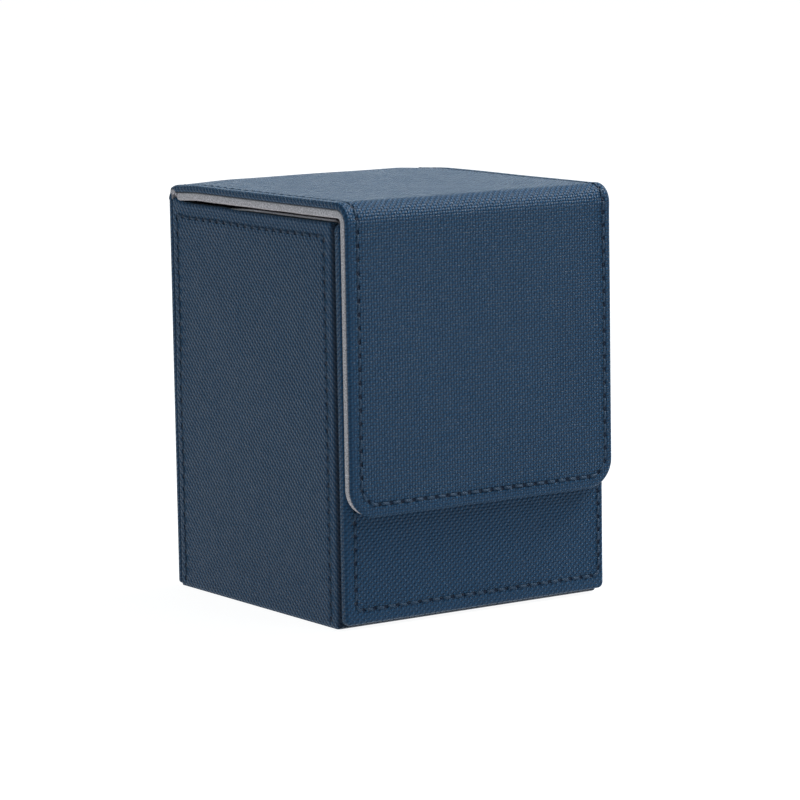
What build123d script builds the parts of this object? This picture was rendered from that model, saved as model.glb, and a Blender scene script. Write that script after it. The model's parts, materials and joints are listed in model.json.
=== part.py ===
"""Card deck box: a board box wrapped in leatherette, with a soft-hinged lid and a magnetic front flap.

Millimetres. +X is the box's right, -Y its front, +Z up. The origin is the middle of the footprint,
at the height of the surface that the box stands on. Every covering is a shell around its stiffener.
"""

from build123d import *
import os

# Driving dimensions
WIDTH = 77.2  # over the left and right walls
DEPTH = 81.8  # from the flap's front face to the rear panel's face
HEIGHT = 102.8  # top of the closed lid
WALL_TOP = 97.5  # top edge of the left and right walls

SKIN = 0.75  # leatherette
WALL_EDGE = 1.4  # rounding of the wrap at its front edges
FLOOR_EDGE = 0.5  # the same along the floor
WALL_TOP_EDGE = 0.6
EDGE = 0.8  # rounding of every other leatherette edge
WALL_BOARD = 1.65  # greyboard inside the walls and the base
LINING_CARD = 1.2  # microfibre-covered card inside the box
LINING_PROUD = 0.7  # how far the front and side linings stand above the walls
LINING_WRAP = 0.6  # microfibre turned round the lid's and flap's inner boards
LINING_INSET = 0.2  # how far the grey layers stand back from the leatherette's edge

FRONT_PANEL = 2.35  # thickness of the wrapped front panel
FRONT_PANEL_FOOT = 1.4  # its lower edge above the ground
FRONT_PANEL_TOP = 97.6
REAR_PANEL = 2.1
REAR_PANEL_FOOT = 0.2
REAR_PANEL_TOP = 98.6
PANEL_CORNER = 1.2

LID_OUTER = 1.75  # the lid's wrapped outer layer
LID_INNER = 2.05  # the lid's grey layer
FLAP_OUTER = 1.3
FLAP_INNER = 2.0
FLAP_GAP = 0.25  # between the closed flap and the front panel
FLAP_FOOT = 27.6  # the flap's lower edge above the ground
FLAP_CORNER = 6.5

FRONT_BEND = 5.0  # outside radius where the lid turns down into the flap
FRONT_BEND_MIDDLE = 3.2  # the same, between leatherette and lining
FRONT_BEND_INSIDE = 1.1
REAR_BEND = 3.4  # outside radius over the rear hinge
FOLD_RUN = 0.5  # flat run at each end of a soft fold
HINGE_SKIN = 1.1
HINGE_LINING = 2.05
HINGE_INSIDE = 0.3

MAGNET_RADIUS = 6.0
MAGNET_THICK = 1.2
MAGNET_SPREAD = 44.0  # between the two magnets' centres
MAGNET_HEIGHT = 40.0

THREAD = 0.5  # width of a seam
THREAD_PROUD = 0.12
SIDE_SEAM_FRONT = 4.6  # seam distances from the edges of a side wall
SIDE_SEAM_REAR = 2.15
SIDE_SEAM_TOP = 3.3
SIDE_SEAM_END = 1.5  # where a side wall's seams stop above the ground
PANEL_SEAM = 2.3  # seam distance from the side edges of panels, lid and flap
PANEL_SEAM_FOOT = 3.5
PANEL_SEAM_CORNER = 1.5
FRONT_SEAM_TOP = 94.0
FLAP_SEAM_FOOT = 3.1

# Planes that several pieces share
HALF = WIDTH / 2
FRONT = -DEPTH / 2
REAR = DEPTH / 2
FLAP_MIDDLE = FRONT + FLAP_OUTER
FLAP_BACK = FLAP_MIDDLE + FLAP_INNER
PANEL_FACE = FLAP_BACK + FLAP_GAP
WALL_FRONT = PANEL_FACE + FRONT_PANEL
WALL_REAR = REAR - REAR_PANEL
BOARD_IN = HALF - SKIN - WALL_BOARD  # inner faces of the side boards
CAVITY_HALF = BOARD_IN - LINING_CARD
FLOOR_BOARD_TOP = SKIN + WALL_BOARD
LINING_TOP = WALL_TOP + LINING_PROUD
LID_MIDDLE = HEIGHT - LID_OUTER
LID_UNDER = LID_MIDDLE - LID_INNER
LID_FRONT = FRONT + FRONT_BEND + FOLD_RUN
LID_REAR = REAR - REAR_BEND - FOLD_RUN
FLAP_TOP = HEIGHT - FRONT_BEND - FOLD_RUN
GREY_HALF = HALF - LINING_INSET


def save(piece, name):
    piece.part.label = name
    export_step(piece.part, f"parts/{name}.step")


def block(x0, x1, y0, y1, z0, z1):
    """A plain panel between two corners, added to the builder that is open."""
    with Locations(((x0 + x1) / 2, (y0 + y1) / 2, (z0 + z1) / 2)):
        Box(x1 - x0, y1 - y0, z1 - z0)


def panel(name, x0, x1, y0, y1, z0, z1):
    with BuildPart() as piece:
        block(x0, x1, y0, y1, z0, z1)
    save(piece, name)


def facing_plane(y, outward):
    """A vertical plane at depth y. Its local y is +Z, and it extrudes to the front (-1) or the rear (1)."""
    return Plane(origin=(0, y, 0), x_dir=(-outward, 0, 0), z_dir=(0, outward, 0))


def upright_outline(half, foot, top, corner):
    """Adds a rectangle with its two lower corners rounded to the sketch that is open."""
    with Locations((0, (foot + top) / 2)):
        Rectangle(2 * half, top - foot)
    fillet(vertices().group_by(Axis.Y)[0], radius=corner)


def board_outline(foot, top):
    """The outline of the board inside a wrapped panel, a skin's thickness inside the panel's own."""
    upright_outline(HALF - SKIN, foot + SKIN, top - SKIN, PANEL_CORNER - SKIN)


os.makedirs("parts", exist_ok=True)

# The strip of leatherette that makes the left wall, the base and the right wall
with BuildPart() as side_wrap_skin:
    block(-HALF, HALF, WALL_FRONT, WALL_REAR, 0, WALL_TOP)
    fillet(side_wrap_skin.edges().filter_by(Axis.Z).group_by(Axis.Y)[0], radius=WALL_EDGE)
    fillet(side_wrap_skin.edges().filter_by(Axis.Y).group_by(Axis.Z)[0], radius=FLOOR_EDGE)
    with Locations((0, (WALL_FRONT + WALL_REAR) / 2, (FLOOR_BOARD_TOP + WALL_TOP) / 2)):
        Box(2 * BOARD_IN, WALL_REAR - WALL_FRONT, WALL_TOP - FLOOR_BOARD_TOP, mode=Mode.SUBTRACT)
    top_edges = side_wrap_skin.edges().filter_by(Axis.Y).group_by(Axis.Z)[-1].sort_by(Axis.X)
    fillet((top_edges[0], top_edges[-1]), radius=WALL_TOP_EDGE)
    with Locations((0, (WALL_FRONT + WALL_REAR) / 2, WALL_TOP / 2)):
        Box(
            2 * (HALF - SKIN),
            WALL_REAR - WALL_FRONT - 2 * SKIN,
            WALL_TOP - 2 * SKIN,
            mode=Mode.SUBTRACT,
        )
save(side_wrap_skin, "side_wrap_skin")

BOARD_FRONT = WALL_FRONT + SKIN
BOARD_REAR = WALL_REAR - SKIN
panel(
    "base_board", SKIN - HALF, HALF - SKIN, BOARD_FRONT, BOARD_REAR, SKIN, FLOOR_BOARD_TOP
)
for name, x0, x1 in (
    ("left_board", SKIN - HALF, -BOARD_IN),
    ("right_board", BOARD_IN, HALF - SKIN),
):
    panel(name, x0, x1, BOARD_FRONT, BOARD_REAR, FLOOR_BOARD_TOP, WALL_TOP - SKIN)

# The grey inside: front and rear pieces run from wall to wall, the side pieces stand between them
CAVITY_FRONT = WALL_FRONT + LINING_CARD
CAVITY_REAR = WALL_REAR - LINING_CARD
panel(
    "front_lining", -BOARD_IN, BOARD_IN, WALL_FRONT, CAVITY_FRONT, FLOOR_BOARD_TOP, LINING_TOP
)
panel(
    "rear_lining", -BOARD_IN, BOARD_IN, CAVITY_REAR, WALL_REAR, FLOOR_BOARD_TOP, REAR_PANEL_TOP
)
for name, x0, x1 in (
    ("left_lining", -BOARD_IN, -CAVITY_HALF),
    ("right_lining", CAVITY_HALF, BOARD_IN),
):
    panel(name, x0, x1, CAVITY_FRONT, CAVITY_REAR, FLOOR_BOARD_TOP, LINING_TOP)
panel(
    "base_lining",
    -CAVITY_HALF,
    CAVITY_HALF,
    CAVITY_FRONT,
    CAVITY_REAR,
    FLOOR_BOARD_TOP,
    FLOOR_BOARD_TOP + LINING_CARD,
)

# The wrapped panels that close the front and the rear, each a shell over its board
MAGNET_PLACES = ((-MAGNET_SPREAD / 2, MAGNET_HEIGHT), (MAGNET_SPREAD / 2, MAGNET_HEIGHT))

with BuildPart() as front_panel_skin:
    with BuildSketch(facing_plane(WALL_FRONT, -1)):
        upright_outline(HALF, FRONT_PANEL_FOOT, FRONT_PANEL_TOP, PANEL_CORNER)
    extrude(amount=FRONT_PANEL)
    fillet(front_panel_skin.faces().sort_by(Axis.Y)[0].edges(), radius=EDGE)
    with BuildSketch(facing_plane(WALL_FRONT, -1)):
        board_outline(FRONT_PANEL_FOOT, FRONT_PANEL_TOP)
    extrude(amount=FRONT_PANEL - SKIN, mode=Mode.SUBTRACT)
save(front_panel_skin, "front_panel_skin")

with BuildPart() as front_panel_board:
    with BuildSketch(facing_plane(WALL_FRONT, -1)):
        board_outline(FRONT_PANEL_FOOT, FRONT_PANEL_TOP)
    extrude(amount=FRONT_PANEL - SKIN)
    with BuildSketch(facing_plane(PANEL_FACE + SKIN, 1)):
        with Locations(*MAGNET_PLACES):
            Circle(MAGNET_RADIUS)
    extrude(amount=MAGNET_THICK, mode=Mode.SUBTRACT)
save(front_panel_board, "front_panel_board")

with BuildPart() as front_magnets:
    with BuildSketch(facing_plane(PANEL_FACE + SKIN, 1)):
        with Locations(*MAGNET_PLACES):
            Circle(MAGNET_RADIUS)
    extrude(amount=MAGNET_THICK)
save(front_magnets, "front_magnets")

with BuildPart() as rear_panel_skin:
    with BuildSketch(facing_plane(WALL_REAR, 1)):
        upright_outline(HALF, REAR_PANEL_FOOT, REAR_PANEL_TOP, PANEL_CORNER)
    extrude(amount=REAR_PANEL)
    rear_rim = rear_panel_skin.faces().sort_by(Axis.Y)[-1].edges()
    fillet(rear_rim.sort_by(Axis.Z)[:-1], radius=EDGE)
    with BuildSketch(facing_plane(WALL_REAR, 1)):
        board_outline(REAR_PANEL_FOOT, REAR_PANEL_TOP)
    extrude(amount=REAR_PANEL - SKIN, mode=Mode.SUBTRACT)
save(rear_panel_skin, "rear_panel_skin")

with BuildPart() as rear_panel_board:
    with BuildSketch(facing_plane(WALL_REAR, 1)):
        board_outline(REAR_PANEL_FOOT, REAR_PANEL_TOP)
    extrude(amount=REAR_PANEL - SKIN)
save(rear_panel_board, "rear_panel_board")

# The lid: an outer channel of leatherette over a board, and an inner channel of microfibre over another
with BuildPart() as lid_skin:
    block(-HALF, HALF, LID_FRONT, LID_REAR, LID_MIDDLE, HEIGHT)
    fillet(lid_skin.edges().filter_by(Axis.Y).group_by(Axis.Z)[-1], radius=EDGE)
    with Locations((0, (LID_FRONT + LID_REAR) / 2, (LID_MIDDLE + HEIGHT - SKIN) / 2)):
        Box(2 * (HALF - SKIN), LID_REAR - LID_FRONT, LID_OUTER - SKIN, mode=Mode.SUBTRACT)
save(lid_skin, "lid_skin")
panel("lid_board", SKIN - HALF, HALF - SKIN, LID_FRONT, LID_REAR, LID_MIDDLE, HEIGHT - SKIN)

with BuildPart() as lid_lining:
    block(-GREY_HALF, GREY_HALF, LID_FRONT, LID_REAR, LID_UNDER, LID_MIDDLE)
    with Locations((0, (LID_FRONT + LID_REAR) / 2, (LID_UNDER + LINING_WRAP + LID_MIDDLE) / 2)):
        Box(
            2 * (GREY_HALF - LINING_WRAP),
            LID_REAR - LID_FRONT,
            LID_INNER - LINING_WRAP,
            mode=Mode.SUBTRACT,
        )
save(lid_lining, "lid_lining")
panel(
    "lid_lining_board",
    LINING_WRAP - GREY_HALF,
    GREY_HALF - LINING_WRAP,
    LID_FRONT,
    LID_REAR,
    LID_UNDER + LINING_WRAP,
    LID_MIDDLE,
)

# The flap, built like the lid but closed round its two lower corners
with BuildPart() as flap_skin:
    with BuildSketch(facing_plane(FLAP_MIDDLE, -1)):
        upright_outline(HALF, FLAP_FOOT, FLAP_TOP, FLAP_CORNER)
    extrude(amount=FLAP_OUTER)
    flap_rim = flap_skin.faces().sort_by(Axis.Y)[0].edges()
    fillet(flap_rim.sort_by(Axis.Z)[:-1], radius=EDGE)
    with BuildSketch(facing_plane(FLAP_MIDDLE, -1)):
        upright_outline(HALF - SKIN, FLAP_FOOT + SKIN, FLAP_TOP, FLAP_CORNER - SKIN)
    extrude(amount=FLAP_OUTER - SKIN, mode=Mode.SUBTRACT)
save(flap_skin, "flap_skin")

with BuildPart() as flap_board:
    with BuildSketch(facing_plane(FLAP_MIDDLE, -1)):
        upright_outline(HALF - SKIN, FLAP_FOOT + SKIN, FLAP_TOP, FLAP_CORNER - SKIN)
    extrude(amount=FLAP_OUTER - SKIN)
save(flap_board, "flap_board")

GREY_FOOT = FLAP_FOOT + LINING_INSET
GREY_CORNER = FLAP_CORNER - LINING_INSET
with BuildPart() as flap_lining:
    with BuildSketch(facing_plane(FLAP_BACK, -1)):
        upright_outline(GREY_HALF, GREY_FOOT, FLAP_TOP, GREY_CORNER)
    extrude(amount=FLAP_INNER)
    with BuildSketch(facing_plane(FLAP_BACK - LINING_WRAP, -1)):
        upright_outline(
            GREY_HALF - LINING_WRAP, GREY_FOOT + LINING_WRAP, FLAP_TOP, GREY_CORNER - LINING_WRAP
        )
    extrude(amount=FLAP_INNER - LINING_WRAP, mode=Mode.SUBTRACT)
save(flap_lining, "flap_lining")

with BuildPart() as flap_lining_board:
    with BuildSketch(facing_plane(FLAP_BACK - LINING_WRAP, -1)):
        upright_outline(
            GREY_HALF - LINING_WRAP, GREY_FOOT + LINING_WRAP, FLAP_TOP, GREY_CORNER - LINING_WRAP
        )
    extrude(amount=FLAP_INNER - LINING_WRAP)
    with BuildSketch(facing_plane(FLAP_BACK - LINING_WRAP, -1)):
        with Locations(*MAGNET_PLACES):
            Circle(MAGNET_RADIUS)
    extrude(amount=MAGNET_THICK, mode=Mode.SUBTRACT)
save(flap_lining_board, "flap_lining_board")

with BuildPart() as flap_magnets:
    with BuildSketch(facing_plane(FLAP_BACK - LINING_WRAP, -1)):
        with Locations(*MAGNET_PLACES):
            Circle(MAGNET_RADIUS)
    extrude(amount=MAGNET_THICK)
save(flap_magnets, "flap_magnets")


# The soft folds: each is a strip between two bent outlines, drawn in the side view
def fold_strip(name, half, outside, outside_radius, inside, inside_radius):
    with BuildPart() as strip:
        with BuildSketch(Plane.YZ.offset(-half)):
            with BuildLine():
                FilletPolyline(*outside, radius=outside_radius)
                Line(outside[-1], inside[-1])
                FilletPolyline(*inside, radius=inside_radius)
                Line(inside[0], outside[0])
            make_face()
        extrude(amount=2 * half)
    save(strip, name)


FRONT_OUTSIDE = ((LID_FRONT, HEIGHT), (FRONT, HEIGHT), (FRONT, FLAP_TOP))
FRONT_MIDDLE = ((LID_FRONT, LID_MIDDLE), (FLAP_MIDDLE, LID_MIDDLE), (FLAP_MIDDLE, FLAP_TOP))
FRONT_INSIDE = ((LID_FRONT, LID_UNDER), (FLAP_BACK, LID_UNDER), (FLAP_BACK, FLAP_TOP))
REAR_OUTSIDE = ((LID_REAR, HEIGHT), (REAR, HEIGHT), (REAR, REAR_PANEL_TOP))
REAR_MIDDLE = (
    (LID_REAR, HEIGHT - HINGE_SKIN),
    (REAR - HINGE_SKIN, HEIGHT - HINGE_SKIN),
    (REAR - HINGE_SKIN, REAR_PANEL_TOP),
)
HINGE_BACK = REAR - HINGE_SKIN - HINGE_LINING
REAR_INSIDE = ((LID_REAR, LID_UNDER), (HINGE_BACK, LID_UNDER), (HINGE_BACK, REAR_PANEL_TOP))

REAR_BEND_MIDDLE = REAR_BEND - HINGE_SKIN

fold_strip("front_fold_skin", HALF, FRONT_OUTSIDE, FRONT_BEND, FRONT_MIDDLE, FRONT_BEND_MIDDLE)
fold_strip(
    "front_fold_lining", GREY_HALF, FRONT_MIDDLE, FRONT_BEND_MIDDLE, FRONT_INSIDE, FRONT_BEND_INSIDE
)
fold_strip("rear_hinge_skin", HALF, REAR_OUTSIDE, REAR_BEND, REAR_MIDDLE, REAR_BEND_MIDDLE)
fold_strip("rear_hinge_lining", GREY_HALF, REAR_MIDDLE, REAR_BEND_MIDDLE, REAR_INSIDE, HINGE_INSIDE)

# Seams: each is one slim line of thread lying on the leatherette
for name, side in (("left_wall_stitching", -1), ("right_wall_stitching", 1)):
    with BuildPart() as stitching:
        with BuildSketch(Plane.YZ.offset(side * HALF)):
            seam_front = WALL_FRONT + SIDE_SEAM_FRONT
            seam_rear = WALL_REAR - SIDE_SEAM_REAR
            seam_top = WALL_TOP - SIDE_SEAM_TOP
            with Locations(((seam_front + seam_rear) / 2, seam_top)):
                Rectangle(seam_rear - seam_front + THREAD, THREAD)
            for y in (seam_front, seam_rear):
                with Locations((y, (seam_top + SIDE_SEAM_END) / 2)):
                    Rectangle(THREAD, seam_top - SIDE_SEAM_END)
        extrude(amount=side * THREAD_PROUD)
    save(stitching, name)

FRONT_SEAM_FOOT = FRONT_PANEL_FOOT + PANEL_SEAM_FOOT
REAR_SEAM_FOOT = REAR_PANEL_FOOT + PANEL_SEAM_FOOT
FLAP_SEAM_CORNER = FLAP_CORNER - PANEL_SEAM
PANEL_SEAMS = (
    ("front_panel_stitching", PANEL_FACE, -1, FRONT_SEAM_FOOT, FRONT_SEAM_TOP, PANEL_SEAM_CORNER),
    ("rear_panel_stitching", REAR, 1, REAR_SEAM_FOOT, REAR_PANEL_TOP, PANEL_SEAM_CORNER),
    ("flap_stitching", FRONT, -1, FLAP_FOOT + FLAP_SEAM_FOOT, FLAP_TOP, FLAP_SEAM_CORNER),
)
for name, face, outward, foot, top, corner in PANEL_SEAMS:
    with BuildPart() as stitching:
        with BuildSketch(facing_plane(face, outward)):
            upright_outline(HALF - PANEL_SEAM + THREAD / 2, foot - THREAD / 2, top, corner + THREAD / 2)
        extrude(amount=THREAD_PROUD)
        with BuildSketch(facing_plane(face, outward)):
            upright_outline(HALF - PANEL_SEAM - THREAD / 2, foot + THREAD / 2, top, corner - THREAD / 2)
        extrude(amount=THREAD_PROUD, mode=Mode.SUBTRACT)
    save(stitching, name)

with BuildPart() as lid_stitching:
    for x in (PANEL_SEAM - HALF, HALF - PANEL_SEAM):
        block(
            x - THREAD / 2, x + THREAD / 2, LID_FRONT, LID_REAR, HEIGHT, HEIGHT + THREAD_PROUD
        )
save(lid_stitching, "lid_stitching")
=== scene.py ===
"""Looks of the card deck box: embossed leatherette, grey microfibre, stitched seams and soft folds.

Lengths inside this file are millimetres, and become metres when a mesh is made.
The coverings are sheets: u runs across a sheet, v along it, and depth runs inward from its outer
face.
"""

import json
import math

import bmesh
import bpy
import numpy as np
from mathutils import Matrix, Vector


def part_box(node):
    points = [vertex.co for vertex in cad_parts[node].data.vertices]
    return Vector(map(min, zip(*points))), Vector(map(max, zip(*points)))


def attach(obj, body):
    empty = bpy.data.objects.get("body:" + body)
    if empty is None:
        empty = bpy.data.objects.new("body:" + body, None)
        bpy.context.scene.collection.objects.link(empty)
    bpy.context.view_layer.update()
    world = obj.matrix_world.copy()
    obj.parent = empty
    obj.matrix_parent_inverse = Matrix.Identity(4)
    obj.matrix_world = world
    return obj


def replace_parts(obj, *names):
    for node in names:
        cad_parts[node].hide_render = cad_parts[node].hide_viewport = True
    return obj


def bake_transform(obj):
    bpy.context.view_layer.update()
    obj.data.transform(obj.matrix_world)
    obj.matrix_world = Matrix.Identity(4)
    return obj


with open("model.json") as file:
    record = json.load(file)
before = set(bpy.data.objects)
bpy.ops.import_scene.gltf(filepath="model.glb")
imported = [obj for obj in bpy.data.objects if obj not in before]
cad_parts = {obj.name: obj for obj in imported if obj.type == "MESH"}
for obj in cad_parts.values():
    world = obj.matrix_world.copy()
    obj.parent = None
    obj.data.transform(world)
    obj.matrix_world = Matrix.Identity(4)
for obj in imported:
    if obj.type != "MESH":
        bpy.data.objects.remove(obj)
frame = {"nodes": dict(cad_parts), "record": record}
scene = bpy.context.scene
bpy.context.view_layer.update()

MM = 0.001

# Cloth, seams and meshes
YARN = 0.775  # pitch of the embossed yarns
PITCH = 3.25  # from needle hole to needle hole
THREAD = 0.27  # radius
CHANNEL = 0.09  # how deep a seam draws the covering in
PUCKER = 0.14  # how much deeper it does so at a needle hole
PUFF = 0.07  # how far the covering stands up beside a seam
SUNK = 0.12  # how much deeper the stitches on the lid and its hinge lie than the others
SEAM_LINES = (-1.5, -1.0, -0.65, -0.4, -0.2, 0.0, 0.2, 0.4, 0.65, 1.0, 1.5)  # grid lines beside it
FINE = 0.65  # mesh step on leatherette
MIDDLING = 0.8  # the same on the long strip round the sides
COARSE = 2.4  # mesh step on microfibre
RIM_STEPS = 5
FAR_INSIDE = -99.0  # the distance outside a seam where there is no seam
SKIN = 0.75  # thickness of the leatherette
NAP = 0.6  # thickness of the microfibre that is turned round a board
RIM = 0.8  # rounding of the leatherette's edges
NAP_RIM = 0.55  # rounding of the grey layers' edges
WALL_RIMS = (1.9, 0.4, 0.6, 0.6)  # at a side wall's front and rear, and the tops of left and right
REAR_PANEL_RIMS = (1.2, 1.2, None, 0.6)  # at its sides, top and foot
SLAB_RIM = 0.35  # rounding of the linings inside the case
BACK_RIM = 0.35  # rounding where a sheet lies against its neighbour
PANEL_BACK_RIM = 0.5  # the same for the strip and the front panel

# Radii of the corners
FLAP_CORNER = 7.1
FLAP_LINING_CORNER = 6.9
LID_LINING_CORNER = 0.4
FRONT_PANEL_CORNER = 1.4
REAR_PANEL_CORNER = 1.3
WALL_CORNER = 0.9
SLAB_CORNER = 0.7

# Seams, measured from the edges of the piece that they hold
PANEL_SEAM = 2.3
PANEL_SEAM_FOOT = 3.5
PANEL_SEAM_CORNER = 1.5
FLAP_SEAM_FOOT = 3.1
FLAP_SEAM_CORNER = 4.7
FLAP_SEAM_SHIFT = 0.35  # how far the seam of flap, lid and rear panel stands right of the middle
PANEL_SEAM_SHIFT = 0.6  # the same for the front panel's seam
FRONT_SEAM_TOP = 94.0  # where the front panel's seam ends, above the ground
WALL_SEAM_FRONT = 4.6
WALL_SEAM_REAR = 2.15
WALL_SEAM_TOP = 3.3
WALL_SEAM_CORNER = 0.6
WALL_SEAM_END = 1.5  # where a side wall's seams end, above the ground

# How the real box is a little out of true
OVERHANG = 0.3  # how far lid and flap reach out over each side of the case
LID_DROOP = 0.55  # at the lid's rear corners
FOLD_FULLNESS = 0.33  # how far the front fold stands out at its right end
HINGE_SKIN_WIDER = -0.3  # how much wider at each side the hinge's leatherette is than the case
HINGE_LINING_WIDER = 0.15
GROOVE = 0.3  # between the front panel and the side walls' covering
LINING_LEAN = 1.3  # how far the top edge of a side lining leans out
LINING_EASE = 0.25  # how much higher it stands at the front, and lower at the rear


def corners(node):
    """A CAD node's lowest and highest corners."""
    low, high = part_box(node)
    return np.array(low) / MM, np.array(high) / MM


wrap_low, wrap_high = corners("side_wrap_skin")
lid_low, lid_high = corners("lid_skin")
lid_grey_low, lid_grey_high = corners("lid_lining")
flap_low, flap_high = corners("flap_skin")
flap_grey_low, flap_grey_high = corners("flap_lining")
panel_low, panel_high = corners("front_panel_skin")
rear_low, rear_high = corners("rear_panel_skin")

HALF = wrap_high[0]
HEIGHT = lid_high[2]
FRONT = flap_low[1]
REAR = rear_high[1]
FRONT_BEND = 5.0  # outside radius of the fold between lid and flap
REAR_BEND = 3.4  # outside radius of the rear hinge
FLAP_OUTER = flap_high[1] - flap_low[1]
FLAP_INNER = flap_grey_high[1] - flap_grey_low[1]
LID_OUTER = lid_high[2] - lid_low[2]
LID_INNER = lid_grey_high[2] - lid_grey_low[2]
HINGE_SKIN = 0.35  # thickness of the leatherette over the hinge, which has no board
HINGE_LINING = 1.45
HINGE_DEEP = HINGE_SKIN + HINGE_LINING
SKIN_TAPER = 3.2  # the length over which the leatherette thins behind the lid
LINING_TAPER = 1.5
GREY_HALF = lid_grey_high[0]


# ---------------------------------------------------------------- geometry


class Path:
    """Straight runs joined by arcs, in a plane, measured along their length."""

    def __init__(self, points, radii, outward):
        self.runs, self.length = [], 0.0
        points = [np.array(p, float) for p in points]
        self.outward = outward  # 1 if the outside is on the left of the way along, else -1
        start = points[0]
        for before, point, after, radius in zip(points, points[1:], points[2:], radii):
            into = (point - before) / np.linalg.norm(point - before)
            away = (after - point) / np.linalg.norm(after - point)
            turn = math.atan2(into[0] * away[1] - into[1] * away[0], into @ away)
            back = radius * math.tan(abs(turn) / 2)
            self._line(start, point - into * back)
            side = math.copysign(1, turn)
            centre = point - into * back + side * radius * np.array([-into[1], into[0]])
            self._arc(centre, radius, math.atan2(-side * into[0], side * into[1]), turn)
            start = point + away * back
        self._line(start, points[-1])

    def _line(self, a, b):
        size = np.linalg.norm(b - a)
        self.runs.append(("line", self.length, a, (b - a) / size))
        self.length += size

    def _arc(self, centre, radius, angle, turn):
        self.runs.append(("arc", self.length, centre, (radius, angle, turn)))
        self.length += radius * abs(turn)

    def at(self, s):
        """Points and outward directions at the lengths s."""
        s = np.asarray(s, float)
        point, normal = np.zeros(s.shape + (2,)), np.zeros(s.shape + (2,))
        for n, (kind, start, base, shape) in enumerate(self.runs):
            here = (s >= start) | (n == 0)
            along = (s - start)[here]
            if kind == "line":
                point[here] = base + along[:, None] * shape
                heading = np.broadcast_to(shape, (len(along), 2))
            else:
                radius, angle, turn = shape
                side = math.copysign(1, turn)
                angle = angle + side * along / radius
                spoke = np.stack([np.cos(angle), np.sin(angle)], -1)
                point[here] = base + radius * spoke
                heading = side * np.stack([-spoke[:, 1], spoke[:, 0]], -1)
            normal[here] = self.outward * np.stack([-heading[:, 1], heading[:, 0]], -1)
        return point, normal


def smooth(t):
    t = np.clip(t, 0, 1)
    return t * t * (3 - 2 * t)


def ticks(low, high, step, marks=()):
    """Grid lines from low to high, at most a step apart, that include the marks."""
    stops = sorted({low, high, *(m for m in marks if low + 0.05 < m < high - 0.05)})
    lines = []
    for a, b in zip(stops, stops[1:]):
        lines.extend(np.linspace(a, b, max(1, math.ceil((b - a) / step)), endpoint=False))
    return np.array(lines + [high])


def wander(u, v, size, seed):
    """A smooth, repeatable unevenness between about -1 and 1, with features of the given size."""
    rng = np.random.default_rng(seed)
    total = np.zeros_like(u, dtype=float)
    for _ in range(7):
        angle, phase = rng.uniform(0, 2 * math.pi, 2)
        wave = 2 * math.pi / (size * rng.uniform(0.7, 1.6))
        total += np.sin(wave * (u * math.cos(angle) + v * math.sin(angle)) + phase)
    return total / 3.2


class Seam:
    """Stitches along a foot and up two legs, with rounded corners.

    The foot is centred on (u, v). The legs stand half away on each side of it, and run along v
    (way 1) or against it (way -1) as far as the given reach.
    """

    def __init__(self, u, v, half, corner, reach, way=1):
        self.centre, self.half, self.corner, self.way = (u, v), half, corner, way
        self.foot = half - corner
        self.bend = corner * math.pi / 2
        self.end = self.leg(v + way * reach)

    def leg(self, v):
        """The distance along the seam at which its leg passes v."""
        return self.foot + self.bend + (v - self.centre[1]) * self.way - self.corner

    def coords(self, u, v):
        """How far each point is outside the seam line, and along it from the foot's middle."""
        p, q = u - self.centre[0], (v - self.centre[1]) * self.way
        side, p = np.where(p < 0, -1.0, 1.0), np.abs(p)
        c = self.corner
        on_leg = self.half - p < q
        across = np.where(on_leg, p - self.half, -q)
        along = np.where(on_leg, self.foot + self.bend + q - c, p)
        dp, dq = p - self.foot, c - q
        bend = (dp > 0) & (dq > 0)
        across = np.where(bend, np.hypot(dp, dq) - c, across)
        along = np.where(bend, self.foot + c * np.arctan2(dp, np.maximum(dq, 1e-9)), along)
        return np.where(along > self.end, FAR_INSIDE, across), along * side

    def at(self, along, across=0.0):
        """The point at a distance along the seam, moved out from it by across."""
        side, s = np.where(along < 0, -1.0, 1.0), np.abs(along)
        c = self.corner
        turn = np.clip((s - self.foot) / c, 0, math.pi / 2)
        p = np.where(s < self.foot, s, self.foot + (c + across) * np.sin(turn))
        q = np.where(s < self.foot, -across, c - (c + across) * np.cos(turn))
        beyond = s - self.foot - self.bend
        p = np.where(beyond > 0, self.half + across, p)
        q = np.where(beyond > 0, c + beyond, q)
        return self.centre[0] + p * side, self.centre[1] + q * self.way

    def marks(self):
        """The grid lines that a sheet needs along the legs, and along the foot."""
        legs = [self.centre[0] + side * self.half + n for side in (-1, 1) for n in SEAM_LINES]
        return legs, [self.centre[1] + n for n in SEAM_LINES]


def drawn_in(seams, u, v):
    """How deep the seams draw the covering in: a soft channel, deepest at the needle holes."""
    depth = np.zeros_like(u, dtype=float)
    for seam in seams:
        across, along = seam.coords(u, v)
        holes = (0.5 - 0.5 * np.cos(2 * math.pi * along / PITCH)) ** 2
        channel = CHANNEL * np.exp(-((across / 0.55) ** 2))
        pucker = PUCKER * holes * np.exp(-((across / 0.7) ** 2))
        margin = -PUFF * np.exp(-(((across - 1.3) / 0.7) ** 2))
        depth = np.maximum(depth, channel + pucker) + margin
    return depth


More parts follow.
